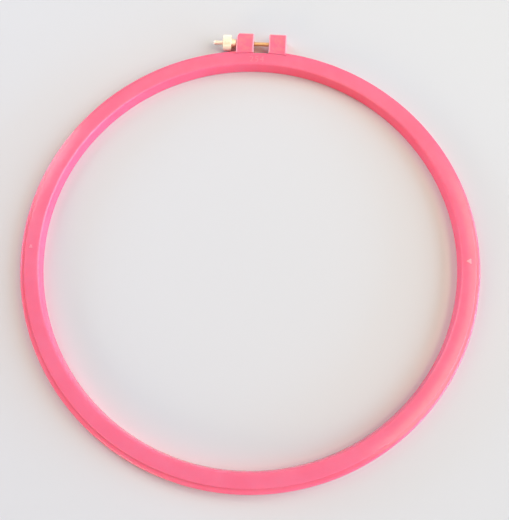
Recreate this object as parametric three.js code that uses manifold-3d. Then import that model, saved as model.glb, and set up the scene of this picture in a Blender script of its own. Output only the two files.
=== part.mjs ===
// Ten-inch screw-tightened embroidery hoop: a split outer ring with two clamp lugs,
// a flanged inner ring that drops into it, a captive hex-head screw and a knurled thumb nut.
// Millimetres, +Z up. The hoop lies flat with its clamp at +Y.
import * as THREE from 'three';
import { mergeVertices } from 'three/addons/utils/BufferGeometryUtils.js';
import Module from 'manifold-3d';

const wasm = await Module();
wasm.setup();

// Hoop sizes
const openingDiameter = 254;
const hoopHeight = 9;
const innerWall = 2.9;
const fabricGap = 0.3;
const flangeThickness = 1.2;
const flangeReach = 5.65;
const ledgeWidth = 3.3;
const seatGap = 0.3;
const wallDraft = 0.15;
const insideRound = 1.2;
const flangeEdgeRound = 0.4;
const outsideRound = 0.9;
const footRound = 0.4;
const leadIn = 0.6;

// Moulding core under the outer ring, open at the bottom
const coreWall = 2.4;
const coreRoof = 2.3;
const coreFillet = 0.6;

// Clamp lugs
const lugGap = 10.1;
const lugWidth = 11.7;
const lugBeyondScrew = 5.7;
const lugRoof = 0.6;
const lugEdgeRound = 0.4;
const lugCornerRound = 0.4;
const nutSideChamferX = 1.5;
const nutSideChamferY = 2.4;

// Screw
const screwDiameter = 2.9;
const screwBeyondNut = 6;
const screwEndChamfer = 0.4;
const lugBoreClearance = 0.3;
const headRim = 1.3;
const headHeight = 2;
const headSink = 0.5;
const headChamfer = 0.35;
const pocketClearance = 0.25;

// Thumb nut
const nutDiameter = 10.2;
const nutTableGap = 0.2;
const nutRingGap = 0.6;
const nutRimLength = 5.2;
const nutDome = 0.8;
const neckWall = 1;
const neckLength = 3;
const nutBoreClearance = 0.25;
const nutEdgeChamfer = 0.45;
const neckEdgeRound = 0.4;
const nutMouthChamfer = 0.5;
const knurlTeeth = 36;
const knurlDepth = 0.32;
const knurlFlankShare = 0.35;

// Fineness of round shapes
const ringSteps = 120;
const boreSteps = 24;
const roundSteps = 3;
const facetRound = 0.4;
const overcut = 2;

// Rings, from the opening outwards
const openingRadius = openingDiameter / 2;
const innerRingRadius = openingRadius + innerWall;
const outerRingBore = innerRingRadius + fabricGap;
const flangeRadius = outerRingBore + flangeReach;
const hoopRadius = flangeRadius + ledgeWidth;
const flangeUnderside = hoopHeight - flangeThickness;
const ledgeHeight = flangeUnderside - seatGap;

// Clamp: the nut turns clear of the outer ring and of the table that the hoop lies on.
const screwRadius = screwDiameter / 2;
const nutRadius = nutDiameter / 2;
const nutBoreRadius = screwRadius + nutBoreClearance;
const neckRadius = nutBoreRadius + neckWall;
const screwY = hoopRadius + nutRingGap + nutRadius;
const screwZ = nutTableGap + nutRadius;
const headFlatRadius = screwRadius + headRim;
const pocketFlatRadius = headFlatRadius + pocketClearance;
const pocketDepth = headHeight + headSink + seatGap;
const lugInside = lugGap / 2;
const lugOutside = lugInside + lugWidth;
const lugEnd = screwY + lugBeyondScrew;
// The lugs are flush with the flange, or taller where the head's pocket needs a roof.
const lugHeight = Math.max(hoopHeight, screwZ + pocketFlatRadius + lugRoof);
const headSeatX = lugOutside - pocketDepth + seatGap;
const neckFaceX = -lugOutside - seatGap;
const nutRimX = neckFaceX - neckLength;
const nutFaceX = nutRimX - nutRimLength - nutDome;
const screwEndX = nutFaceX - screwBeyondNut;

// Turns a hexagon so that two of its flats are level.
const hexTurn = Math.PI / 6;
const hexSides = 6;

const hoopPlastic = { roughness: 0.32, metalness: 0 };
const brass = { roughness: 0.3, metalness: 1 };

// Corners are [x, y, rounding]; a rounding becomes an arc of equal steps, a small one a single facet.
function roundedOutline(corners) {
  const outline = [];
  corners.forEach(([x, y, radius], index) => {
    const corner = new THREE.Vector2(x, y);
    if (!radius) {
      outline.push(corner);
      return;
    }
    const [beforeX, beforeY] = corners[(index + corners.length - 1) % corners.length];
    const [afterX, afterY] = corners[(index + 1) % corners.length];
    const back = new THREE.Vector2(beforeX, beforeY).sub(corner).normalize();
    const ahead = new THREE.Vector2(afterX, afterY).sub(corner).normalize();
    const halfAngle = Math.acos(THREE.MathUtils.clamp(back.dot(ahead), -1, 1)) / 2;
    const centre = back.clone().add(ahead).normalize()
      .multiplyScalar(radius / Math.sin(halfAngle)).add(corner);
    const start = back.multiplyScalar(radius / Math.tan(halfAngle)).add(corner).sub(centre);
    const end = ahead.multiplyScalar(radius / Math.tan(halfAngle)).add(corner).sub(centre);
    const turn = Math.atan2(start.cross(end), start.dot(end));
    const steps = radius > facetRound ? roundSteps : 1;
    for (let step = 0; step <= steps; step += 1) {
      outline.push(start.clone().rotateAround(new THREE.Vector2(), turn * step / steps).add(centre));
    }
  });
  return outline;
}

function solid(geometry) {
  const bare = geometry.clone();
  bare.deleteAttribute('normal');
  bare.deleteAttribute('uv');
  const merged = mergeVertices(bare, 1e-4);
  const corners = merged.index.array;
  const triangles = [];
  for (let first = 0; first < corners.length; first += 3) {
    const [a, b, c] = corners.slice(first, first + 3);
    // Triangles that close up on the axis have no area.
    if (a !== b && b !== c && c !== a) triangles.push(a, b, c);
  }
  return new wasm.Manifold(new wasm.Mesh({
    numProp: 3,
    vertProperties: new Float32Array(merged.attributes.position.array),
    triVerts: new Uint32Array(triangles),
  }));
}

// Turns a closed outline of [radius, height] about +Z, or about +X when alongX is set.
function revolved(outline, steps, alongX = false) {
  const geometry = new THREE.LatheGeometry([...outline, outline[0].clone()], steps);
  geometry.rotateX(Math.PI / 2);
  if (alongX) geometry.rotateY(Math.PI / 2);
  return solid(geometry);
}

function extruded(outline, depth, bevel = 0) {
  const geometry = new THREE.ExtrudeGeometry(new THREE.Shape(outline), {
    depth: depth - 2 * bevel,
    bevelEnabled: bevel > 0,
    bevelSize: bevel,
    bevelThickness: bevel,
    bevelOffset: -bevel,
    bevelSegments: roundSteps,
  });
  geometry.translate(0, 0, bevel);
  return solid(geometry);
}

// A prism along +X whose flats stay outside the given radius, starting at startX.
function prismX(radius, startX, endX, sides, turn = 0) {
  const geometry = new THREE.CylinderGeometry(
    radius / Math.cos(Math.PI / sides), radius / Math.cos(Math.PI / sides), endX - startX, sides);
  geometry.rotateY(turn);
  geometry.rotateZ(-Math.PI / 2);
  geometry.translate((startX + endX) / 2, 0, 0);
  return solid(geometry);
}

function onScrewAxis(body) {
  return body.translate([0, screwY, screwZ]);
}

function pieceMesh(body, name, color, finish) {
  const { vertProperties, triVerts } = body.getMesh();
  const geometry = new THREE.BufferGeometry();
  geometry.setAttribute('position', new THREE.BufferAttribute(vertProperties, 3));
  geometry.setIndex(new THREE.BufferAttribute(triVerts, 1));
  geometry.computeVertexNormals();
  const mesh = new THREE.Mesh(geometry, new THREE.MeshStandardMaterial({ color, ...finish }));
  mesh.name = name;
  return mesh;
}

// Closed inner ring: a tapered wall inside the outer ring, and a flange that lies over it.
function innerRing() {
  return revolved(roundedOutline([
    [openingRadius, 0, flangeEdgeRound],
    [innerRingRadius - wallDraft, 0, leadIn],
    [innerRingRadius, flangeUnderside, 0],
    [flangeRadius, flangeUnderside, 0],
    [flangeRadius, hoopHeight, flangeEdgeRound],
    [openingRadius + wallDraft, hoopHeight, insideRound],
  ]), ringSteps);
}

// Outer band before it is split, cored out from below like any thick moulding.
function outerBand() {
  const coreInside = outerRingBore + coreWall;
  const coreOutside = hoopRadius - coreWall;
  const coreTop = ledgeHeight - coreRoof;
  return revolved(roundedOutline([
    [outerRingBore - wallDraft, 0, footRound],
    [coreInside - wallDraft, 0, 0],
    [coreInside, coreTop, coreFillet],
    [coreOutside, coreTop, coreFillet],
    [coreOutside + wallDraft, 0, 0],
    [hoopRadius, 0, footRound],
    [hoopRadius - wallDraft / 2, ledgeHeight, outsideRound],
    [outerRingBore, ledgeHeight, 0],
  ]), ringSteps);
}

// The room that the inner ring takes: what the lugs must leave free.
function innerRingRoom() {
  return revolved([
    new THREE.Vector2(0, -overcut),
    new THREE.Vector2(outerRingBore - wallDraft, -overcut),
    new THREE.Vector2(outerRingBore - wallDraft, 0),
    new THREE.Vector2(outerRingBore, ledgeHeight),
    new THREE.Vector2(flangeRadius + seatGap, ledgeHeight),
    new THREE.Vector2(flangeRadius + seatGap, hoopHeight + overcut),
    new THREE.Vector2(0, hoopHeight + overcut),
  ], ringSteps);
}

// One lug in plan, as a block that reaches back into the band; side is -1 at the nut, 1 at the head.
function lug(side) {
  const insideX = side * lugInside;
  const outsideX = side * lugOutside;
  const rootY = outerRingBore - lugOutside;
  const cornerRound = lugCornerRound + lugEdgeRound;
  const farCorners = side < 0
    ? [
      [outsideX + nutSideChamferX, lugEnd, cornerRound],
      [outsideX, lugEnd - nutSideChamferY, cornerRound],
    ]
    : [[outsideX, lugEnd, cornerRound]];
  const corners = [
    [insideX, rootY, 0],
    [insideX, lugEnd, cornerRound],
    ...farCorners,
    [outsideX, rootY, 0],
  ];
  if (side > 0) corners.reverse();
  return extruded(roundedOutline(corners), lugHeight, lugEdgeRound);
}

// Split outer ring with its lugs, the screw bore through both, and the hex pocket for the head.
function outerRing() {
  // The band stops inside the lugs, so that the lugs alone shape its two ends.
  const split = solid(new THREE.BoxGeometry(lugGap + lugWidth, hoopRadius, hoopHeight + overcut)
    .translate(0, openingRadius, hoopHeight / 2));
  const lugs = lug(-1).add(lug(1)).subtract(innerRingRoom());
  const lugBoreRadius = screwRadius + lugBoreClearance;
  const bore = prismX(lugBoreRadius, -lugOutside - overcut, lugOutside + overcut, boreSteps);
  const pocket = prismX(pocketFlatRadius, lugOutside - pocketDepth, lugOutside + overcut, hexSides, hexTurn);
  return outerBand().subtract(split).add(lugs).subtract(onScrewAxis(bore.add(pocket)));
}

// Hex-head screw along X, with its head in the right lug and its free end beyond the nut.
function clampScrew() {
  const headTop = headSeatX + headHeight;
  const shank = revolved(roundedOutline([
    [0, screwEndX, 0],
    [screwRadius - screwEndChamfer, screwEndX, 0],
    [screwRadius, screwEndX + screwEndChamfer, 0],
    [screwRadius, headSeatX + headHeight / 2, 0],
    [0, headSeatX + headHeight / 2, 0],
  ]), boreSteps, true);
  const hex = prismX(headFlatRadius, headSeatX, headTop, hexSides, hexTurn);
  const hexCorner = headFlatRadius / Math.cos(Math.PI / hexSides);
  const crown = revolved([
    new THREE.Vector2(0, headSeatX - overcut),
    new THREE.Vector2(hexCorner + overcut, headSeatX - overcut),
    new THREE.Vector2(hexCorner + overcut, headTop - headChamfer - overcut / 2),
    new THREE.Vector2(hexCorner - 2 * headChamfer, headTop),
    new THREE.Vector2(0, headTop),
  ], boreSteps, true);
  return onScrewAxis(shank.add(hex.intersect(crown)));
}

// Straight knurling: flat-topped teeth with V grooves between them, as a prism along +X.
function knurledBar(startX, endX) {
  const outline = [];
  for (let tooth = 0; tooth < knurlTeeth; tooth += 1) {
    for (const [share, depth] of [[0, knurlDepth], [knurlFlankShare, 0], [1 - knurlFlankShare, 0]]) {
      const radius = nutRadius - depth;
      const angle = (tooth + share) / knurlTeeth * 2 * Math.PI;
      outline.push(new THREE.Vector2(radius * Math.cos(angle), radius * Math.sin(angle)));
    }
  }
  return extruded(outline, endX - startX).rotate([0, 90, 0]).translate([startX, 0, 0]);
}

// Thumb nut along X: a knurled rim with a domed free face, and a plain neck against the lug.
function thumbNut() {
  // Cones at 45 degrees cut both edges of the teeth, and run on past them.
  const frontEdge = nutFaceX + nutDome + nutEdgeChamfer / 2;
  const backEdge = nutRimX - nutEdgeChamfer;
  const rim = revolved([
    new THREE.Vector2(0, nutFaceX),
    new THREE.Vector2(neckRadius, nutFaceX),
    new THREE.Vector2(nutRadius - nutEdgeChamfer, frontEdge - nutEdgeChamfer),
    new THREE.Vector2(nutRadius + nutEdgeChamfer, frontEdge + nutEdgeChamfer),
    new THREE.Vector2(nutRadius + nutEdgeChamfer, backEdge - nutEdgeChamfer),
    new THREE.Vector2(nutRadius - nutEdgeChamfer, backEdge + nutEdgeChamfer),
    new THREE.Vector2(0, nutRimX),
  ], knurlTeeth, true);
  const neck = revolved(roundedOutline([
    [0, nutRimX - overcut, 0],
    [neckRadius, nutRimX - overcut, 0],
    [neckRadius, neckFaceX, neckEdgeRound],
    [0, neckFaceX, 0],
  ]), boreSteps, true);
  const bore = prismX(nutBoreRadius, nutFaceX - overcut, neckFaceX + overcut, boreSteps);
  const mouth = revolved([
    new THREE.Vector2(0, nutFaceX - nutMouthChamfer),
    new THREE.Vector2(nutBoreRadius + 2 * nutMouthChamfer, nutFaceX - nutMouthChamfer),
    new THREE.Vector2(0, nutFaceX + nutMouthChamfer + nutBoreRadius),
  ], boreSteps, true);
  const teeth = knurledBar(nutFaceX - overcut, nutRimX + overcut);
  return onScrewAxis(rim.intersect(teeth).add(neck).subtract(bore).subtract(mouth));
}

const hoop = new THREE.Group();
hoop.add(
  pieceMesh(outerRing(), 'outer_ring', 0xf04a72, hoopPlastic),
  pieceMesh(innerRing(), 'inner_ring', 0xf25078, hoopPlastic),
  pieceMesh(clampScrew(), 'clamp_screw', 0xc99a4e, brass),
  pieceMesh(thumbNut(), 'thumb_nut', 0xe6d6a0, brass),
);
// The origin lies on the table, halfway between the hoop's far edge and the lugs' ends.
hoop.position.y = (hoopRadius - lugEnd) / 2;

export default hoop;
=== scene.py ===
import math

import bmesh
import bpy
from mathutils import Matrix, Vector


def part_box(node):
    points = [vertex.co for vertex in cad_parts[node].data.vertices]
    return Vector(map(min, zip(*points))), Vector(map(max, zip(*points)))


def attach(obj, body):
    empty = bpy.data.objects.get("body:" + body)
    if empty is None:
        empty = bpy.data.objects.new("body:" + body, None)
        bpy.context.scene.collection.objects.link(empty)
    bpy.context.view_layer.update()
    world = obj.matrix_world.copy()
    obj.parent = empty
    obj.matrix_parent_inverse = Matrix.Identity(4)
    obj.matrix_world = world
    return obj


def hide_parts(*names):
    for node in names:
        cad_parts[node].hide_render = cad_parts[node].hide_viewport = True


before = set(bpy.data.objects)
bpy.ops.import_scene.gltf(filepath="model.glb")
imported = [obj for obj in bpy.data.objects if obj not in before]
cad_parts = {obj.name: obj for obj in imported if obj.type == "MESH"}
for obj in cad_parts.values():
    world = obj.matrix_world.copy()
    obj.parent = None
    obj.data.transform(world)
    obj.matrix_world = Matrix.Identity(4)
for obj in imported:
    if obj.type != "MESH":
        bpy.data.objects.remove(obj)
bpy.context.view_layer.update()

mm = 0.001
fullTurn = 2 * math.pi
mergeDistance = 0.0005 * mm

# Sizes and places that the frame gives
ringLow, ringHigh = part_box("inner_ring")
bandLow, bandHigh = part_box("outer_ring")
screwLow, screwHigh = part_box("clamp_screw")
nutLow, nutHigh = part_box("thumb_nut")
ringCentre = Vector((0, (ringLow.y + ringHigh.y) / 2, 0))
flangeRadius = (ringHigh.x - ringLow.x) / 2
hoopRadius = (bandHigh.x - bandLow.x) / 2
hoopHeight = ringHigh.z
lugEnd = bandHigh.y
lugHeight = bandHigh.z
screwCentre = Vector((0, (screwLow.y + screwHigh.y) / 2, (screwLow.z + screwHigh.z) / 2))
print("frame loaded, hoop radius", round(hoopRadius / mm, 2), "mm")

# Camera first: close above the hoop and a little in front of it
camera = {
    "place": (0.00707, -0.10648, 0.3515),
    "turn": (15.363, -0.064, 2.831),     # degrees about X, Y and Z
    "lens": 41.012,
    "film": 36,
    "nearest": 0.01,
}


def makeCamera():
    data = bpy.data.cameras.new("camera")
    data.lens = camera["lens"]
    data.sensor_width = camera["film"]
    data.clip_start = camera["nearest"]
    eye = bpy.data.objects.new("camera", data)
    eye.location = camera["place"]
    eye.rotation_euler = [math.radians(angle) for angle in camera["turn"]]
    bpy.context.scene.collection.objects.link(eye)
    bpy.context.scene.camera = eye


makeCamera()
print("camera placed")


# Outlines and meshes
def roundedOutline(corners, arcStep=math.radians(12)):
    # corners are (x, y, rounding), and each rounding becomes an arc
    outline = []
    for index, (x, y, radius) in enumerate(corners):
        corner = Vector((x, y))
        if not radius:
            outline.append(corner)
            continue
        back = (Vector(corners[index - 1][:2]) - corner).normalized()
        ahead = (Vector(corners[(index + 1) % len(corners)][:2]) - corner).normalized()
        halfAngle = back.angle(ahead) / 2
        centre = corner + (back + ahead).normalized() * radius / math.sin(halfAngle)
        start = corner + back * radius / math.tan(halfAngle) - centre
        end = corner + ahead * radius / math.tan(halfAngle) - centre
        turn = math.atan2(start.x * end.y - start.y * end.x, start.dot(end))
        steps = max(2, round(abs(turn) / arcStep))
        for step in range(steps + 1):
            outline.append(centre + Matrix.Rotation(turn * step / steps, 2) @ start)
    return outline


def insetOutline(outline, amount):
    # each point moves inwards along the mitre of its two edges, in an outline that runs anticlockwise
    moved = []
    for index, point in enumerate(outline):
        before = (point - outline[index - 1]).normalized()
        after = (outline[(index + 1) % len(outline)] - point).normalized()
        inward = Vector((-before.y - after.y, before.x + after.x)).normalized()
        moved.append(point + inward * amount / inward.dot(Vector((-before.y, before.x))))
    return moved


def link(name, mesh):
    piece = bpy.data.objects.new(name, mesh)
    bpy.context.scene.collection.objects.link(piece)
    return piece


def cleaned(piece, fillEnds=False):
    # merges points that fall together, closes open ends and turns all faces outwards
    shape = bmesh.new()
    shape.from_mesh(piece.data)
    bmesh.ops.remove_doubles(shape, verts=shape.verts, dist=mergeDistance)
    bmesh.ops.dissolve_degenerate(shape, edges=shape.edges, dist=mergeDistance)
    if fillEnds:
        bmesh.ops.holes_fill(shape, edges=[edge for edge in shape.edges if edge.is_boundary], sides=0)
    bmesh.ops.recalc_face_normals(shape, faces=shape.faces)
    shape.to_mesh(piece.data)
    shape.free()
    return piece


def lofted(name, rows, closed=False):
    # skins rows of points, each row a loop; the last row joins the first, or both ends are capped
    width = len(rows[0])
    faces = []
    for first in range(len(rows) if closed else len(rows) - 1):
        second = (first + 1) % len(rows)
        for column in range(width):
            beside = (column + 1) % width
            faces.append((first * width + column, first * width + beside,
                          second * width + beside, second * width + column))
    if not closed:
        faces.append(tuple(range(width)))
        faces.append(tuple(range((len(rows) - 1) * width, len(rows) * width)))
    mesh = bpy.data.meshes.new(name)
    mesh.from_pydata([point for row in rows for point in row], [], faces)
    return cleaned(link(name, mesh))


def swept(name, section, startAngle, endAngle, steps):
    # carries a section of (radius, height) round the ring's centre
    closed = endAngle - startAngle >= fullTurn
    rows = []
    for step in range(steps if closed else steps + 1):
        angle = startAngle + (endAngle - startAngle) * step / steps
        rows.append([ringCentre + Vector((point.x * math.cos(angle), point.x * math.sin(angle), point.y))
                     for point in section])
    return lofted(name, rows, closed)


def turned(name, outline, columns, limit=None, upright=False):
    # turns (place, radius) points about the screw's line, or about the ring's upright axis;
    # limit gives the largest radius at an angle
    rows = []
    for place, radius in outline:
        row = []
        for column in range(columns):
            angle = fullTurn * column / columns
            reach = min(radius, limit(angle)) if limit else radius
            across, up = reach * math.cos(angle), reach * math.sin(angle)
            row.append(ringCentre + Vector((across, up, place)) if upright
                       else screwCentre + Vector((place, across, up)))
        rows.append(row)
    return lofted(name, rows)


def combine(body, tool, operation):
    cut = body.modifiers.new("cut", "BOOLEAN")
    cut.object = tool
    cut.operation = operation
    cut.solver = "MANIFOLD"
    bpy.context.view_layer.update()
    seen = body.evaluated_get(bpy.context.evaluated_depsgraph_get())
    result = bpy.data.meshes.new_from_object(seen)
    body.modifiers.clear()
    body.data = result
    bpy.data.objects.remove(tool)
    return body


def finished(piece, material, node, body, sharpAngle=32):
    cleaned(piece)
    piece.data.shade_smooth()
    piece.data.set_sharp_from_angle(angle=math.radians(sharpAngle))
    piece.data.materials.clear()
    piece.data.materials.append(material)
    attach(piece, body)
    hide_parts(node)
    print(piece.name, "made,", len(piece.data.polygons), "faces")


# Shader expressions: a wire is a socket that can be added, multiplied and so on
class Wire:
    def __init__(self, shader, socket):
        self.shader = shader
        self.socket = socket

    def reckon(self, operation, first, second):
        return self.shader.node("Math", {"operation": operation}, {0: first, 1: second})

    def __add__(self, other):
        return self.reckon("ADD", self, other)

    def __radd__(self, other):
        return self.reckon("ADD", other, self)

    def __sub__(self, other):
        return self.reckon("SUBTRACT", self, other)

    def __rsub__(self, other):
        return self.reckon("SUBTRACT", other, self)

    def __mul__(self, other):
        return self.reckon("MULTIPLY", self, other)

    def __rmul__(self, other):
        return self.reckon("MULTIPLY", other, self)

    def __abs__(self):
        return self.reckon("ABSOLUTE", self, 0)


class Shader:
    def __init__(self, owner):
        owner.use_nodes = True
        self.owner = owner
        self.tree = owner.node_tree
        self.tree.nodes.clear()

    def node(self, kind, settings=None, inputs=None, output=0):
        made = self.tree.nodes.new("ShaderNode" + kind)
        for key, value in (settings or {}).items():
            setattr(made, key, value)
        for key, value in (inputs or {}).items():
            if isinstance(value, Wire):
                self.tree.links.new(value.socket, made.inputs[key])
            else:
                made.inputs[key].default_value = value
        return Wire(self, made.outputs[output]) if made.outputs else None

    def noise(self, place, size, detail=3, roughness=0.55):
        # size is the width of one blotch, in metres
        return self.node("TexNoise", {}, {"Vector": place, "Scale": 1 / size, "Detail": detail,
                                          "Roughness": roughness})

    def step(self, value, start, end):
        # rises smoothly from 0 at start to 1 at end
        return self.node("MapRange", {"interpolation_type": "SMOOTHSTEP"},
                         {"Value": value, "From Min": start, "From Max": end})

    def mix(self, share, first, second):
        # sockets 6 and 7 are the two colours, and output 2 is the mixed one
        return self.node("Mix", {"data_type": "RGBA"}, {0: share, 6: first, 7: second}, output=2)

    def stretched(self, place, turn, scale):
        return self.node("Mapping", {}, {"Vector": place, "Rotation": turn, "Scale": scale})

    def part(self, place, axis):
        return self.node("SeparateXYZ", {}, {0: place}, output=axis)

    def bump(self, height, distance, below=None):
        inputs = {"Height": height, "Distance": distance, "Strength": 1}
        if below:
            inputs["Normal"] = below
        return self.node("Bump", {}, inputs)

    def surface(self, inputs):
        shine = self.node("BsdfPrincipled", {}, inputs)
        self.node("OutputMaterial", {}, {"Surface": shine})
        return self.owner


def colour(red, green, blue):
    return (red, green, blue, 1)


# Pink moulded plastic
plastic = {
    "body": colour(0.985, 0.162, 0.286),
    "deep": colour(0.975, 0.145, 0.264),
    # pale tone for wear and scratches, and for the painted highlights on lug edges and raised marks
    "paleWearAndHighlight": colour(0.990, 0.430, 0.500),
    "roughness": 0.14,
    "grain": 0.06,
    "blotch": 14 * mm,
    "blotchSteps": (0.30, 0.72),
    "wave": 5 * mm,
    "waveHeight": 0.010 * mm,
    "fine": 0.22 * mm,
    "fineHeight": 0.0016 * mm,
    "scratchWidth": 0.10 * mm,
    "scratchStretch": (60, 4),              # along the scratch and upwards, in widths
    "scratchSteps": (0.66, 0.74),
    "scratchTurns": (0.4, 1.5, 2.6),
    "scratchHeight": 0.0022 * mm,
    "scratchPale": 0.08,
    "scratchRough": 0.10,
    "wearWidth": 0.45 * mm,
    "wearCore": 0.15,                       # share of the width that is fully worn
    "wearPatch": 0.7 * mm,
    "wearSteps": (0.30, 0.80),
    "wearPale": 0.16,
    "wearRough": 0.12,
    "proud": (0.06 * mm, 0.30 * mm),        # heights over the flange
    # paleness of the raised marks: stress whitening and a painted highlight
    "proudWhiteningAndHighlight": 0.85,
    "bleed": (1.0, 0.16, 0.20),
    "bleedDepth": 2.0 * mm,
    "bleedShare": 0.5,
    # the lugs' rounded upper edges are painted pale as a highlight
    "highlightBand": (1.15 * mm, 0.45 * mm),
    "edgePaintedHighlight": 0.85,
    "scuffed": colour(0.985, 0.330, 0.250),
    "scuff": 3.2 * mm,
    "scuffSteps": (0.38, 0.66),
    "scuffShare": 0.24,
    "scuffHeight": 0.012 * mm,
}


def ringDistance(shader, place):
    # distance from the ring's upright axis
    apart = shader.node("VectorMath", {"operation": "SUBTRACT"}, {0: place, 1: ringCentre})
    flat = shader.node("VectorMath", {"operation": "MULTIPLY"}, {0: apart, 1: (1, 1, 0)})
    return shader.node("VectorMath", {"operation": "LENGTH"}, {0: flat}, output="Value")


def hairlines(shader, place, turn, width):
    # long thin scratches that all run one way
    along, upwards = plastic["scratchStretch"]
    lines = shader.stretched(place, (0, 0, turn), (1 / width, 1 / (along * width), 1 / (upwards * width)))
    streaks = shader.node("TexNoise", {}, {"Vector": lines, "Scale": 1, "Detail": 1})
    return shader.step(streaks, *plastic["scratchSteps"])


def lugHighlightAndScuffs(shader, place):
    # masks of the two lugs: their rounded upper edges, which carry a painted highlight, and the scuffs on
    # their tops
    wide, narrow = plastic["highlightBand"]
    middle = (outerRing["lugInside"] + outerRing["lugOutside"]) / 2
    half = outerRing["lugOutside"] - middle
    aside = abs(abs(shader.part(place, "X")) - middle)
    along = shader.part(place, "Y")
    sides = shader.step(aside, half - wide, half - narrow)
    end = shader.step(along, lugEnd - wide, lugEnd - narrow)
    root = flangeRadius + ringCentre.y
    onLug = shader.step(along, root, root + wide)
    high = shader.step(shader.part(place, "Z"), lugHeight - wide, lugHeight - wide / 2)
    blots = shader.noise(place, plastic["scuff"], detail=4, roughness=0.6)
    scuffs = shader.step(blots, *plastic["scuffSteps"])
    return sides.reckon("MAXIMUM", sides, end) * onLug * high, scuffs * onLug * high


def plasticMaterial(name, wornRings, lugs=False):
    # wornRings are (radius, highest place) of the rubbed edges
    shader = Shader(bpy.data.materials.new(name))
    place = shader.node("TexCoord", output="Object")
    blotches = shader.noise(place, plastic["blotch"], detail=4)
    patches = shader.noise(place, plastic["wearPatch"], detail=4, roughness=0.7)
    fine = shader.noise(place, plastic["fine"], detail=2)
    radius = ringDistance(shader, place)
    height = shader.part(place, "Z")
    patchy = shader.step(patches, *plastic["wearSteps"])
    wearWidth = plastic["wearWidth"]
    worn = 0
    for wornRadius, highest in wornRings:
        near = 1 - shader.step(abs(radius - wornRadius), plastic["wearCore"] * wearWidth, wearWidth)
        below = 1 - shader.step(height, highest, highest + wearWidth)
        worn = near * patchy * below + worn
    turns = plastic["scratchTurns"]
    scratches = 0
    for turn in turns:
        scratches = hairlines(shader, place, turn, plastic["scratchWidth"]) * (1 / len(turns)) + scratches
    tone = shader.mix(shader.step(blotches, *plastic["blotchSteps"]), plastic["deep"], plastic["body"])
    # raised marks above the flange are painted pale, partly as stress whitening and partly as a painted
    # highlight
    proud = shader.step(height, *[hoopHeight + rise for rise in plastic["proud"]])
    paleWearAndHighlight = proud * plastic["proudWhiteningAndHighlight"] + worn * plastic["wearPale"] + scratches * plastic["scratchPale"]
    waves = shader.bump(shader.noise(place, plastic["wave"], detail=1), plastic["waveHeight"])
    if lugs:
        edges, scuffs = lugHighlightAndScuffs(shader, place)
        tone = shader.mix(scuffs * plastic["scuffShare"], tone, plastic["scuffed"])
        # painted highlight along the lugs' rounded upper edges
        paleWearAndHighlight = paleWearAndHighlight + edges * plastic["edgePaintedHighlight"]
        waves = shader.bump(scuffs, plastic["scuffHeight"], waves)
    # paleness from wear and scratches, and painted highlights
    tone = shader.mix(paleWearAndHighlight, tone, plastic["paleWearAndHighlight"])
    grain = shader.bump(fine, plastic["fineHeight"], waves)
    rubbed = fine * plastic["grain"] + worn * plastic["wearRough"] + scratches * plastic["scratchRough"]
    return shader.surface({
        "Base Color": tone,
        "Roughness": rubbed + plastic["roughness"],
        "Subsurface Weight": plastic["bleedShare"],
        "Subsurface Radius": plastic["bleed"],
        "Subsurface Scale": plastic["bleedDepth"],
        "Normal": shader.bump(scratches, -plastic["scratchHeight"], grain),
    })


# Brass of the screw and the nut
brass = {
    "screw": colour(0.92, 0.70, 0.42),
    "screwDark": colour(0.58, 0.34, 0.15),
    # the screw's free end: worn metal with a painted highlight
    "screwEndWornAndLit": colour(0.95, 0.91, 0.87),
    "nut": colour(0.91, 0.85, 0.73),
    "nutDark": colour(0.78, 0.58, 0.34),
    "roughness": 0.36,
    "grain": 0.22,
    "blotch": 2.2 * mm,
    "blotchSteps": (0.5, 0.75),
    "blotchTarnish": 0.3,
    "rootTarnish": 0.55,
    "tarnishRough": 0.15,
    "wornAndLitShare": 0.85,
    "wornAndLitTarnish": 0.5,                   # how far tarnish keeps the worn and lit paleness off
    "wornAndLitFade": 1 * mm,
    "fine": 0.12 * mm,
    "fineHeight": 0.002 * mm,
    "turning": 0.16 * mm,
    "turningHeight": 0.0012 * mm,
}


def brassMaterial(name, bright, dark, rootRadii, rubbed=None):
    # tarnish is full up to the first root radius and fades out at the second, in thread and knurl roots;
    # the free end of the screw, left of the place given as rubbed, is painted paler: partly worn metal,
    # partly a painted highlight
    shader = Shader(bpy.data.materials.new(name))
    place = shader.node("TexCoord", output="Object")
    apart = shader.node("VectorMath", {"operation": "SUBTRACT"}, {0: place, 1: screwCentre})
    across = shader.node("VectorMath", {"operation": "MULTIPLY"}, {0: apart, 1: (0, 1, 1)})
    radius = shader.node("VectorMath", {"operation": "LENGTH"}, {0: across}, output="Value")
    blotches = shader.noise(place, brass["blotch"], detail=5, roughness=0.65)
    fine = shader.noise(place, brass["fine"], detail=3)
    roots = 1 - shader.step(radius, *rootRadii)
    spots = shader.step(blotches, *brass["blotchSteps"])
    tarnish = roots * brass["rootTarnish"] + spots * brass["blotchTarnish"]
    turning = shader.node("Math", {"operation": "SINE"}, {0: radius * (fullTurn / brass["turning"])})
    marks = shader.bump(turning, brass["turningHeight"])
    tone = shader.mix(tarnish, bright, dark)
    # paler free end: partly worn metal, partly a painted highlight
    if rubbed:
        fade = brass["wornAndLitFade"]
        worn = 1 - shader.step(shader.part(place, "X"), rubbed - fade, rubbed + fade)
        clean = 1 - tarnish * brass["wornAndLitTarnish"]
        tone = shader.mix(worn * clean * brass["wornAndLitShare"], tone, brass["screwEndWornAndLit"])
    return shader.surface({
        "Base Color": tone,
        "Metallic": 1,
        "Roughness": blotches * brass["grain"] + tarnish * brass["tarnishRough"] + brass["roughness"],
        "Normal": shader.bump(fine, brass["fineHeight"], marks),
    })


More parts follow.
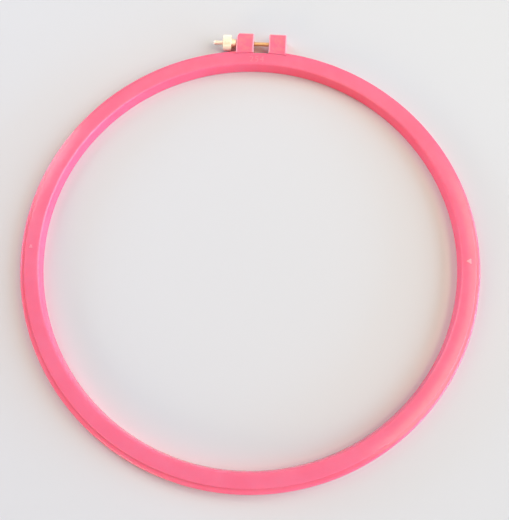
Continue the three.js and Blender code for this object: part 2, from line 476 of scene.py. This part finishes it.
# Inner ring: L section, with the wall inside the outer ring and the flange over it
innerRing = {
    "wall": 2.9 * mm,
    "draft": 0.15 * mm,
    "flangeThickness": 1.2 * mm,
    "openingRadius": 127 * mm,
    "insideRound": 1.2 * mm,
    "edgeRound": 0.4 * mm,
    "crownWidth": 5 * mm,
    "crownDrop": 0.13 * mm,
    "crownSteps": 5,
    "leadIn": 0.6 * mm,
    "wornInside": 0.5 * mm,                 # how far the rubbed edges lie in from the opening and the rim
    "wornOutside": 0.2 * mm,
    "steps": 360,
}

# Gate stubs on the flange, and the opening's width in millimetres as a raised number
flangeMarks = {
    "gates": [
        {"angle": 182.2, "radius": 132.4 * mm, "width": 3.2 * mm, "height": 0.16 * mm,
         "chip": 0.8 * mm, "point": 95},
        {"angle": -0.5, "radius": 131.6 * mm, "width": 4.2 * mm, "height": 0.30 * mm,
         "chip": 1.0 * mm, "point": 180},
    ],
    # shares of the mark's height, and of half its width or of the chip's size
    "discProfile": [(0, 1), (0.30, 0.93), (0.35, 0.84), (0.20, 0.70), (0.20, 0.05)],
    "discColumns": 40,
    "chipProfile": [(0.6, 1.9), (0.9, 1.6), (1, 1.2), (1, 0.05)],
    "chipFoot": 2,
    "chipColumns": 48,
    "number": "254",
    "numberHeight": 4.2 * mm,
    "digitShare": 0.7,                      # height of a digit in the size of the font
    "curveSteps": 6,
    "numberSpacing": 1.15,
    "numberRadius": 130.8 * mm,
    "numberAngle": 91.1,
    "numberRaise": 0.14 * mm,
    "sunk": 0.3 * mm,
}


def triangleLimit(flatRadius, point):
    # distance to a triangle that has a corner towards the angle point
    third = fullTurn / 3
    return lambda angle: flatRadius / math.cos((angle - point) % third - third / 2)


def gateStub(mark):
    # a shallow moulded disc, and on it the three-cornered chip where the sprue broke off
    half, chip = mark["width"] / 2, mark["chip"]
    low, rise = hoopHeight - flangeMarks["sunk"], mark["height"]
    discSide = [(hoopHeight + up * rise, out * half) for up, out in flangeMarks["discProfile"]]
    chipSide = [(hoopHeight + up * rise, out * chip) for up, out in flangeMarks["chipProfile"]]
    disc = turned("gateDisc", [(low, half), *discSide], flangeMarks["discColumns"], upright=True)
    stub = turned("gateChip", [(low, flangeMarks["chipFoot"] * chip), *chipSide], flangeMarks["chipColumns"],
                  triangleLimit(chip, math.radians(mark["point"])), upright=True)
    angle = math.radians(mark["angle"])
    shift = Matrix.Translation(Vector((math.cos(angle), math.sin(angle), 0)) * mark["radius"])
    disc.data.transform(shift)
    stub.data.transform(shift)
    return disc, stub


def raisedNumber():
    words = bpy.data.curves.new("number", "FONT")
    words.body = flangeMarks["number"]
    words.size = flangeMarks["numberHeight"] / flangeMarks["digitShare"]
    words.space_character = flangeMarks["numberSpacing"]
    words.align_x = "CENTER"
    words.align_y = "CENTER"
    words.extrude = (flangeMarks["numberRaise"] + flangeMarks["sunk"]) / 2
    words.resolution_u = flangeMarks["curveSteps"]
    text = link("numberText", words)
    bpy.context.view_layer.update()
    mesh = bpy.data.meshes.new_from_object(text.evaluated_get(bpy.context.evaluated_depsgraph_get()))
    bpy.data.objects.remove(text)
    angle = math.radians(flangeMarks["numberAngle"])
    height = hoopHeight + (flangeMarks["numberRaise"] - flangeMarks["sunk"]) / 2
    reach = flangeMarks["numberRadius"]
    place = ringCentre + Vector((math.cos(angle) * reach, math.sin(angle) * reach, height))
    mesh.transform(Matrix.Translation(place) @ Matrix.Rotation(angle - math.pi / 2, 4, "Z"))
    return cleaned(link("number", mesh))


def makeInnerRing(material):
    look = innerRing
    opening = look["openingRadius"]
    outside = opening + look["wall"]
    underside = hoopHeight - look["flangeThickness"]
    crown = []
    for step in range(look["crownSteps"]):
        share = 1 - step / look["crownSteps"]
        inwards = look["crownWidth"] * (1 - share)
        drop = look["crownDrop"] * share ** 2
        crown.append((flangeRadius - inwards, hoopHeight - drop, 0 if step else look["edgeRound"]))
    section = roundedOutline([
        (opening, 0, look["edgeRound"]),
        (outside - look["draft"], 0, look["leadIn"]),
        (outside, underside, 0),
        (flangeRadius, underside, 0),
        *crown,
        (opening + look["draft"], hoopHeight, look["insideRound"]),
    ])
    ring = swept("innerRing", section, 0, fullTurn, look["steps"])
    for mark in flangeMarks["gates"]:
        for part in gateStub(mark):
            combine(ring, part, "UNION")
    combine(ring, raisedNumber(), "UNION")
    finished(ring, material, "inner_ring", "inner_ring")


# Outer ring: a band cored out from below, split between two lugs
outerRing = {
    "fabricGap": 0.3 * mm,
    "seatGap": 0.3 * mm,
    "draft": 0.15 * mm,
    "outsideRound": 1.8 * mm,
    "footRound": 0.4 * mm,
    "coreWall": 2.4 * mm,
    "coreRoof": 2.3 * mm,
    "coreFillet": 0.6 * mm,
    "lugInside": 5.05 * mm,
    "lugOutside": 16.75 * mm,
    "edgeRound": 0.65 * mm,
    "cornerRound": 0.8 * mm,
    "sinkShare": 0.6,
    "sinkDepth": 0.18 * mm,
    "sinkSteps": 6,
    "lugClearance": 0.14 * mm,
    "nutSideChamfer": (1.6 * mm, 2.9 * mm),
    "boreRadius": 1.75 * mm,
    "boreFlare": 0.2 * mm,
    "boreColumns": 48,
    "pocketFlatRadius": 3.0 * mm,
    "pocketDepth": 2.8 * mm,
    "pocketColumns": 72,
    "roomColumns": 720,
    "overcut": 2 * mm,
    "wornInside": 0.3 * mm,
    "roundSteps": 6,
    "steps": 340,
}
ledge = hoopHeight - innerRing["flangeThickness"] - outerRing["seatGap"]     # top of the band


def hexLimit(flatRadius):
    # distance to a hexagon that has two level flats
    return lambda angle: flatRadius / math.cos((angle % (math.pi / 3)) - math.pi / 6)


def lug(side):
    look = outerRing
    inside, outside = look["lugInside"], look["lugOutside"]
    root = innerRing["openingRadius"] + ringCentre.y - outside
    corners = [(inside, root, 0), (outside, root, 0), (outside, lugEnd, look["cornerRound"]),
               (inside, lugEnd, look["cornerRound"])]
    if side < 0:
        cutX, cutY = look["nutSideChamfer"]
        corners[2:3] = [(outside, lugEnd - cutY, look["cornerRound"]),
                        (outside - cutX, lugEnd, look["cornerRound"])]
        corners = [(-x, y, rounding) for x, y, rounding in reversed(corners)]
    plan = roundedOutline(corners)
    rows = []
    edge = look["edgeRound"]
    for end in (0, 1):
        for step in range(look["roundSteps"] + 1):
            slope = (step if end else look["roundSteps"] - step) / look["roundSteps"] * math.pi / 2
            inset = edge * (1 - math.cos(slope))
            rise = edge * (1 - math.sin(slope))
            height = lugHeight - rise if end else rise
            rows.append([point.to_3d() + Vector((0, 0, height)) for point in insetOutline(plan, inset)])
    # the thick lug has sunk a little in the middle of its top
    rim = rows[-1]
    middle = sum(rim, Vector()) / len(rim)
    for step in range(1, look["sinkSteps"] + 1):
        share = step / look["sinkSteps"]
        drop = Vector((0, 0, look["sinkDepth"] * share * share * (3 - 2 * share)))
        rows.append([point.lerp(middle, share * look["sinkShare"]) - drop for point in rim])
    return lofted("lug", rows)


def screwBore():
    look = outerRing
    radius, flare = look["boreRadius"], look["boreFlare"]
    inside, outside = look["lugInside"], look["lugOutside"]
    past = outside + look["overcut"]
    return turned("bore", [
        (-past, radius + flare),
        (-outside, radius + flare),
        (-outside + flare, radius),
        (-inside - flare, radius),
        (-inside, radius + flare),
        (inside, radius + flare),
        (inside + flare, radius),
        (past, radius),
    ], look["boreColumns"])


def makeOuterRing(material):
    look = outerRing
    bore = innerRing["openingRadius"] + innerRing["wall"] + look["fabricGap"]
    coreInside = bore + look["coreWall"]
    coreOutside = hoopRadius - look["coreWall"]
    coreTop = ledge - look["coreRoof"]
    section = roundedOutline([
        (bore - look["draft"], 0, look["footRound"]),
        (coreInside - look["draft"], 0, 0),
        (coreInside, coreTop, look["coreFillet"]),
        (coreOutside, coreTop, look["coreFillet"]),
        (coreOutside + look["draft"], 0, 0),
        (hoopRadius, 0, look["footRound"]),
        (hoopRadius - look["draft"] / 2, ledge, look["outsideRound"]),
        (bore, ledge, 0),
    ])
    lugMiddle = (look["lugInside"] + look["lugOutside"]) / 2
    halfSplit = math.asin(lugMiddle / hoopRadius)
    startAngle, endAngle = math.pi / 2 + halfSplit, math.pi / 2 - halfSplit + fullTurn
    band = swept("outerRing", section, startAngle, endAngle, look["steps"])
    # the room of the inner ring is cut out of each lug
    clear = flangeRadius + look["lugClearance"]
    room = [
        (-look["overcut"], bore - look["draft"]),
        (0, bore - look["draft"]),
        (ledge, bore),
        (ledge, clear),
        (hoopHeight + look["overcut"], clear),
    ]
    for side in (-1, 1):
        body = combine(lug(side), turned("room", room, look["roomColumns"], upright=True), "DIFFERENCE")
        combine(band, body, "UNION")
    combine(band, screwBore(), "DIFFERENCE")
    pocket = [(look["lugOutside"] - look["pocketDepth"], hoopHeight),
              (look["lugOutside"] + look["overcut"], hoopHeight)]
    hexTool = turned("pocket", pocket, look["pocketColumns"], hexLimit(look["pocketFlatRadius"]))
    combine(band, hexTool, "DIFFERENCE")
    finished(band, material, "outer_ring", "outer_ring")


# Thread of the screw and of the nut's bore: right-hand, 0.5 mm pitch
thread = {
    "pitch": 0.5 * mm,
    "depth": 0.27 * mm,
    "crestRadius": 1.45 * mm,
    "play": 0.05 * mm,
    "crest": 1 / 8,           # shares of the pitch
    "flank": 5 / 16,
    "root": 1 / 4,
    "columns": 32,
}


def threadRadius(place, angle, crestRadius):
    share = (place / thread["pitch"] - angle / fullTurn) % 1
    past = share - thread["crest"]
    fall = min(max(past / thread["flank"], 0), 1)
    rise = min(max((past - thread["flank"] - thread["root"]) / thread["flank"], 0), 1)
    return crestRadius - thread["depth"] * (fall - rise)


def threadedRod(name, start, end, crestRadius, chamfer=0):
    # rows follow the thread's crest and root lines, and stop flat at both ends
    pitch, columns = thread["pitch"], thread["columns"]
    edges = [0, thread["crest"], thread["crest"] + thread["flank"], 1 - thread["flank"]]
    turns = range(math.floor(start / pitch) - 1, math.ceil(end / pitch) + 1)
    lines = [pitch * (turn + edge) for turn in turns for edge in edges]
    points = []
    for line in lines:
        for column in range(columns):
            angle = fullTurn * column / columns
            place = min(max(line + pitch * column / columns, start), end)
            radius = threadRadius(place, angle, crestRadius)
            if chamfer:
                radius = min(radius, crestRadius - chamfer + place - start)
            points.append(screwCentre + Vector((place, radius * math.cos(angle), radius * math.sin(angle))))
    faces = []
    for row in range(len(lines) - 1):
        for column in range(columns - 1):
            corner = row * columns + column
            faces.append((corner, corner + 1, corner + columns + 1, corner + columns))
        # past a full turn the rows meet the ones that lie a pitch further on
        wrap = (min(row + len(edges), len(lines) - 1)) * columns
        nextWrap = (min(row + len(edges) + 1, len(lines) - 1)) * columns
        last = row * columns + columns - 1
        faces.append((last, wrap, nextWrap, last + columns))
    mesh = bpy.data.meshes.new(name)
    mesh.from_pydata(points, [], faces)
    return cleaned(link(name, mesh), fillEnds=True)


# Screw: threaded over its whole length, with its hex head in the right lug's pocket
clampScrew = {
    "headFlatRadius": 2.75 * mm,
    "headHeight": 2 * mm,
    "headChamfer": 0.35 * mm,
    "headSlope": 2,           # how far the chamfer runs in, for each part it runs down
    "headSteps": 4,
    "headColumns": 72,
    "seatBevel": (0.05 * mm, 0.1 * mm),
    "endChamfer": 0.4 * mm,
    "rootRadii": (1.18 * mm, 1.42 * mm),
    "sharpAngle": 28,
}


def makeClampScrew(material):
    look = clampScrew
    top = screwHigh.x
    seat = top - look["headHeight"]
    corner = look["headFlatRadius"] / math.cos(math.pi / 6)
    chamfer, steps = look["headChamfer"], look["headSteps"]
    cone = [(top - chamfer * (1 - step / steps), corner - chamfer * look["headSlope"] * step / steps)
            for step in range(steps + 1)]
    bevelUp, bevelIn = look["seatBevel"]
    head = turned("head", [(seat, corner - bevelIn), (seat + bevelUp, corner), *cone], look["headColumns"],
                  hexLimit(look["headFlatRadius"]))
    screw = threadedRod("clampScrew", screwLow.x, seat + look["headHeight"] / 2, thread["crestRadius"],
                        look["endChamfer"])
    combine(screw, head, "UNION")
    finished(screw, material, "clamp_screw", "clamp_screw", look["sharpAngle"])


# Thumb nut: knurled rim with a domed free face, and a plain neck against the left lug
thumbNut = {
    "radius": 5.1 * mm,
    "rimLength": 6 * mm,      # with the dome
    "dome": 0.6 * mm,
    "domeFlat": 2.9 * mm,
    "domeRound": 2.2 * mm,
    "edgeRound": 0.5 * mm,
    "neckRadius": 2.7 * mm,
    "neckRound": 0.4 * mm,
    "rootFillet": 0.35 * mm,
    "teeth": 36,
    "toothDepth": 0.32 * mm,
    "toothFlank": 0.35,       # share of one tooth's pitch
    "toothCurve": 0.8,
    "columnsPerTooth": 8,
    "heart": 0.3 * mm,        # radius of the end caps, which the bore takes away
    "mouth": 0.5 * mm,
    "mouthTip": 0.01 * mm,
    "mouthColumns": 64,
    "overcut": 1 * mm,
    "rootRadii": (4.80 * mm, 5.08 * mm),
    "sharpAngle": 28,
}


def knurlLimit(angle):
    share = angle / fullTurn * thumbNut["teeth"] % 1
    fromRoot = min(share, 1 - share) / thumbNut["toothFlank"]
    return thumbNut["radius"] - thumbNut["toothDepth"] * max(0, 1 - fromRoot) ** thumbNut["toothCurve"]


def makeThumbNut(material):
    look = thumbNut
    face, end = nutLow.x, nutHigh.x
    rim = face + look["rimLength"]
    heart, overcut = look["heart"], look["overcut"]
    outline = roundedOutline([
        (face, heart, 0),
        (face, look["domeFlat"], look["domeRound"]),
        (face + look["dome"], look["radius"], look["edgeRound"]),
        (rim, look["radius"], look["edgeRound"]),
        (rim, look["neckRadius"], look["rootFillet"]),
        (end, look["neckRadius"], look["neckRound"]),
        (end, heart, 0),
    ])
    nut = turned("thumbNut", outline, look["teeth"] * look["columnsPerTooth"], knurlLimit)
    tapRadius = thread["crestRadius"] + thread["play"]
    combine(nut, threadedRod("tap", face - overcut, end + overcut, tapRadius), "DIFFERENCE")
    wide = tapRadius + look["mouth"]
    for mouth, way in ((face, 1), (end, -1)):
        tip = (mouth + way * wide, look["mouthTip"])
        cone = [(mouth - way * overcut, wide + overcut), (mouth, wide), tip]
        combine(nut, turned("mouth", cone, look["mouthColumns"]), "DIFFERENCE")
    finished(nut, material, "thumb_nut", "thumb_nut", look["sharpAngle"])


# Floor, lamps and surroundings
studio = {
    "floor": colour(0.722, 0.71, 0.73),
    "bounce": colour(0.74, 0.34, 0.33),     # what the floor gives back to the hoop, for light only
    "floorRoughness": 0.9,
    "floorSize": 9,
    "fade": (0.45, 1.8),                    # where the floor turns into the backdrop, for the eye only
    "skyLight": colour(0.97, 0.98, 1.0),
    "skyStrength": 0.20,
    "seenSky": colour(1, 1, 1),
}
lamps = [
    {"name": "window", "place": (4.72, 0.25, 2.22), "aim": (0, 0, 0),
     "size": (5.6, 3.4), "power": 275, "tint": (0.76, 0.83, 1.0)},
    {"name": "lowWindow", "place": (4.75, -1.35, 0.62), "aim": (0, 0, 0),
     "size": (5.0, 0.9), "power": 185, "tint": (0.20, 0.60, 1.0)},
    {"name": "lowLamp", "place": (-1.38, -1.97, 0.62), "aim": (0, 0, 0),
     "size": (1.1, 0.7), "power": 24, "tint": (1.0, 0.66, 0.44)},
    {"name": "frontStrip", "place": (0.600, -0.132, 1.10), "aim": (-0.03, 0.31, 0),
     "size": (0.46, 0.36), "power": 2.7, "tint": (1.0, 0.90, 0.54)},
    {"name": "sideStrip", "place": (0.737, 0.377, 1.10), "aim": (-0.03, 0.31, 0),
     "size": (0.56, 0.34), "power": 2.3, "tint": (1.0, 0.92, 0.50)},
    {"name": "ceiling", "place": (-0.03, 0.31, 1.10), "aim": (0, 0, 0),
     "size": (0.5, 0.5), "power": 1.1, "tint": (1.0, 0.94, 0.86)},
    {"name": "leftStrip", "place": (-1.45, 0.62, 0.34), "aim": (-0.13, 0, 0),
     "size": (1.0, 0.3), "power": 10.5, "tint": (0.50, 0.66, 1.0)},
    {"name": "topGlow", "place": (0.10, 0.70, 1.10), "aim": (0.10, 0.70, 0),
     "size": (0.9, 0.5), "power": 0.85, "tint": (1.0, 0.80, 0.0)},
    {"name": "backLamp", "place": (-1.150, 0.992, 1.10), "aim": (-0.13, 0.03, 0),
     "size": (0.38, 1.27), "power": 9.0, "tint": (0.96, 0.97, 1.0)},
]


def directRay(shader):
    # 1 for what is seen, mirrored or seen through, 0 for the light that falls on things
    seen, mirrored, through = [shader.node("LightPath", output=ray)
                               for ray in ("Is Camera Ray", "Is Glossy Ray", "Is Transmission Ray")]
    return seen + mirrored + through


def makeFloor():
    half = studio["floorSize"] / 2
    mesh = bpy.data.meshes.new("floor")
    corners = [(-half, -half, 0), (half, -half, 0), (half, half, 0), (-half, half, 0)]
    mesh.from_pydata(corners, [], [(0, 1, 2, 3)])
    floor = link("floor", mesh)
    shader = Shader(bpy.data.materials.new("paleFloor"))
    distance = ringDistance(shader, shader.node("TexCoord", output="Object"))
    far = shader.step(distance, *studio["fade"]) * directRay(shader)
    tone = shader.mix(directRay(shader), studio["bounce"], studio["floor"])
    near = shader.node("BsdfPrincipled", {}, {"Base Color": tone, "Roughness": studio["floorRoughness"]})
    backdrop = shader.node("Emission", {}, {"Color": studio["seenSky"]})
    blend = shader.node("MixShader", {}, {0: far, 1: near, 2: backdrop})
    shader.node("OutputMaterial", {}, {"Surface": blend})
    floor.data.materials.append(shader.owner)


def makeWorld():
    shader = Shader(bpy.context.scene.world or bpy.data.worlds.new("world"))
    bpy.context.scene.world = shader.owner
    lit = shader.node("Background", {}, {"Color": studio["skyLight"], "Strength": studio["skyStrength"]})
    seen = shader.node("Background", {}, {"Color": studio["seenSky"], "Strength": 1})
    direct = shader.node("MixShader", {}, {0: directRay(shader), 1: lit, 2: seen})
    shader.node("OutputWorld", {}, {"Surface": direct})


def makeLamps():
    for lamp in lamps:
        data = bpy.data.lights.new(lamp["name"], "AREA")
        data.shape = "RECTANGLE"
        data.size, data.size_y = lamp["size"]
        data.energy = lamp["power"]
        data.color = lamp["tint"]
        holder = bpy.data.objects.new(lamp["name"], data)
        holder.location = lamp["place"]
        sight = Vector(lamp["aim"]) - Vector(lamp["place"])
        holder.rotation_euler = sight.to_track_quat("-Z", "Y").to_euler()
        bpy.context.scene.collection.objects.link(holder)


insideEdge = (innerRing["openingRadius"] + innerRing["wornInside"], hoopHeight)
rimEdge = (flangeRadius - innerRing["wornOutside"], hoopHeight)
bandEdge = (hoopRadius - outerRing["wornInside"], ledge)
makeInnerRing(plasticMaterial("innerPink", [insideEdge, rimEdge]))
makeOuterRing(plasticMaterial("outerPink", [bandEdge], lugs=True))
makeClampScrew(brassMaterial("goldenBrass", brass["screw"], brass["screwDark"], clampScrew["rootRadii"],
                             rubbed=nutHigh.x))
makeThumbNut(brassMaterial("paleBrass", brass["nut"], brass["nutDark"], thumbNut["rootRadii"]))
makeFloor()
makeWorld()
makeLamps()
bpy.context.scene.view_settings.view_transform = "Standard"
print("studio ready")
